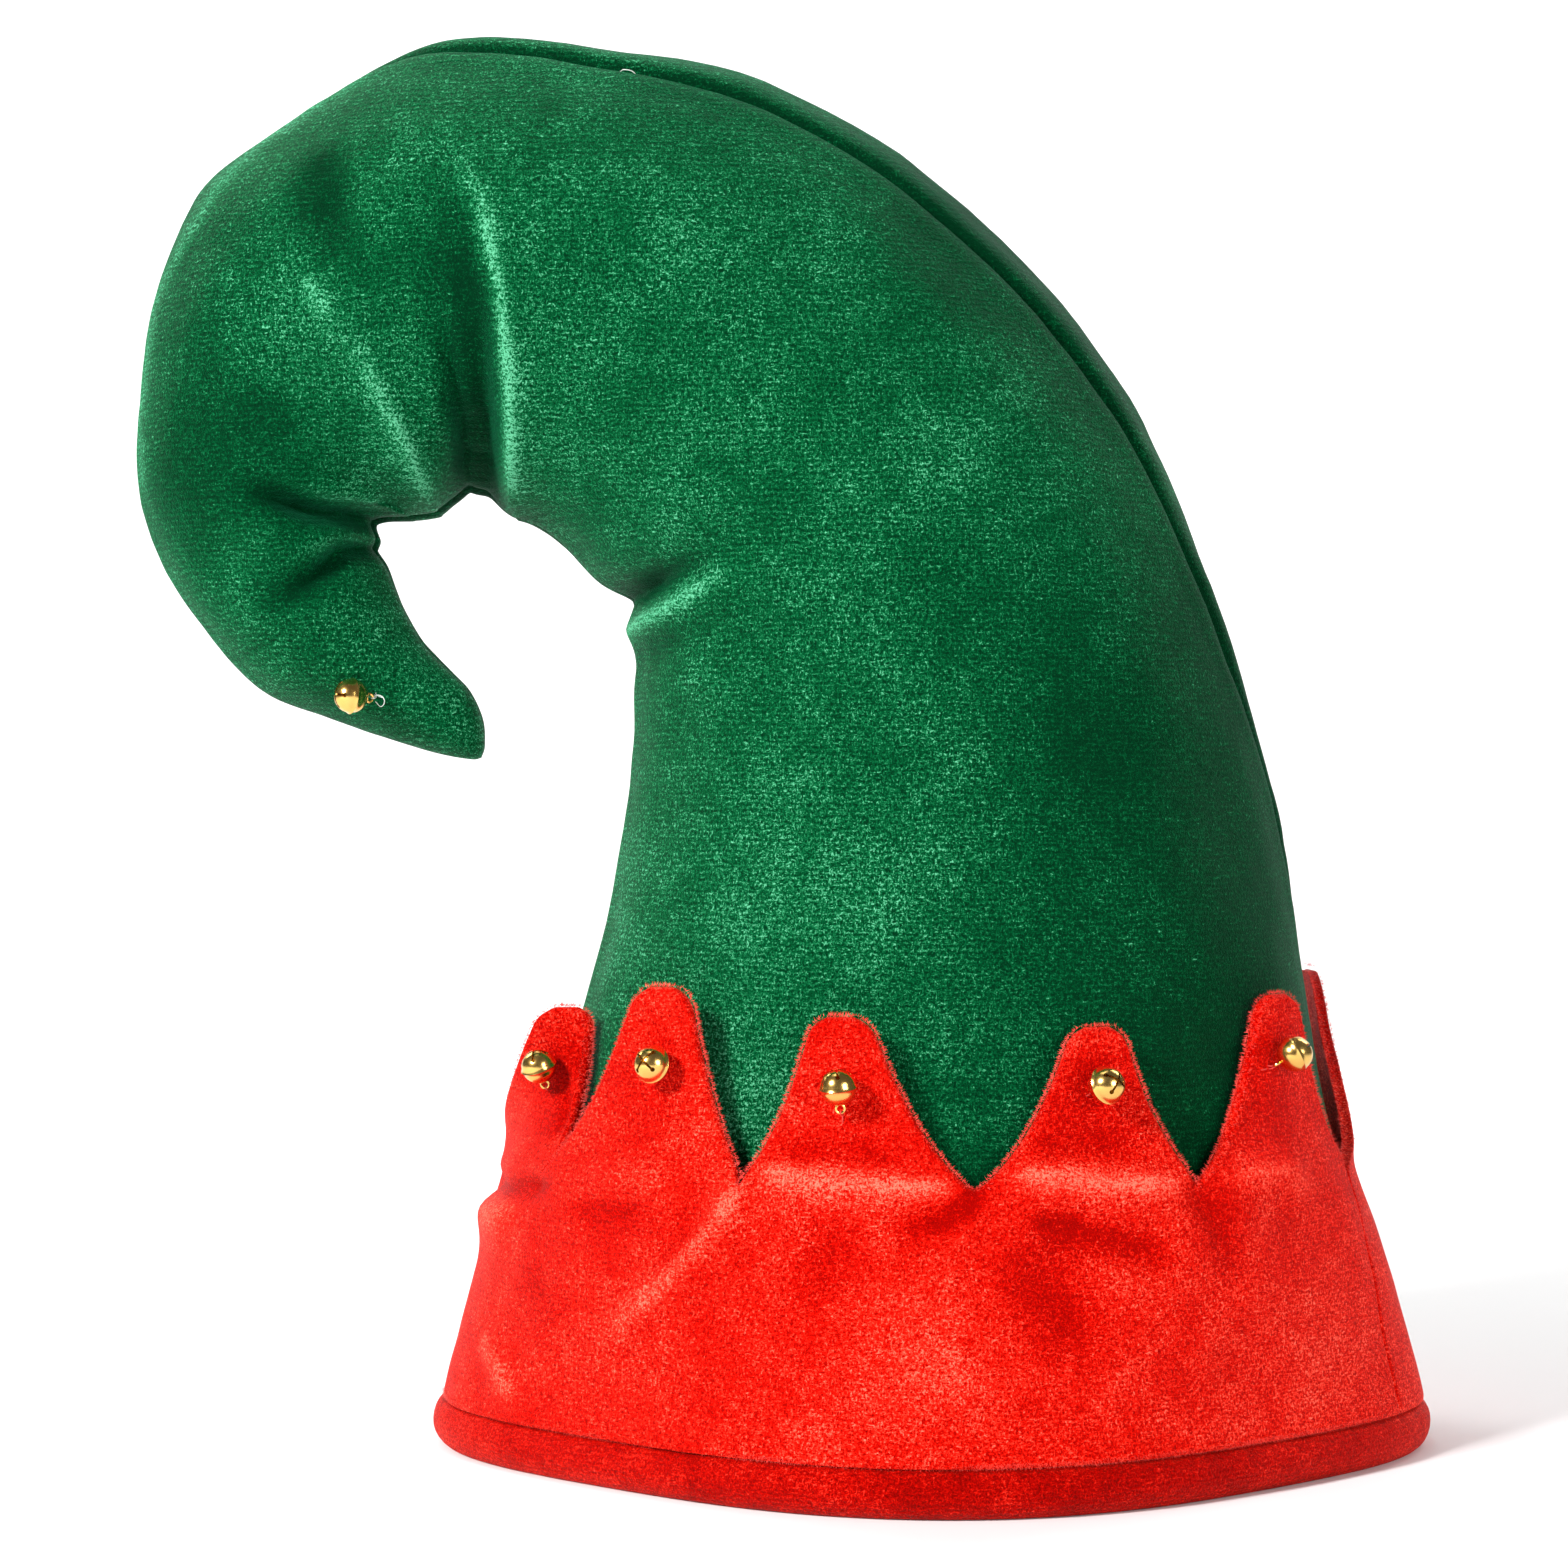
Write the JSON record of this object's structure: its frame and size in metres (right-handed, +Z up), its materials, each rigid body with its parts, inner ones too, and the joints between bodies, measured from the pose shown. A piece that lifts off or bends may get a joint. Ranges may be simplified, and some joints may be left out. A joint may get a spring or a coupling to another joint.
{
  "type": "elf hat",
  "caption": "Curved horn hat in green velvet with a red velvet cuff cut in blunt points, a rolled hem and small round bells.",
  "frame": {"origin": "centre of the hat's bounding box in plan, at the underside of the rolled hem", "axes": "+Z up the hat, -Y the front that the picture shows, the horn curls towards -X"},
  "size_m": [0.3087, 0.1716, 0.3341],
  "materials": {
    "green_velvet": "deep green velvet pile on a knitted ground",
    "red_velvet": "bright red velvet pile, plush and lighter where the pile turns",
    "gold_metal": "polished gold plate"
  },
  "bodies": {
    "root": {"crown_front": "green_velvet", "crown_back": "green_velvet", "cuff_front": "red_velvet", "cuff_back": "red_velvet", "hem_roll": "red_velvet", "bell_01": "gold_metal", "bell_02": "gold_metal", "bell_03": "gold_metal", "bell_04": "gold_metal", "bell_05": "gold_metal", "bell_06": "gold_metal", "bell_07": "gold_metal", "bell_08": "gold_metal", "bell_09": "gold_metal", "bell_10": "gold_metal", "bell_tip": "gold_metal"}
  },
  "joints": []
}
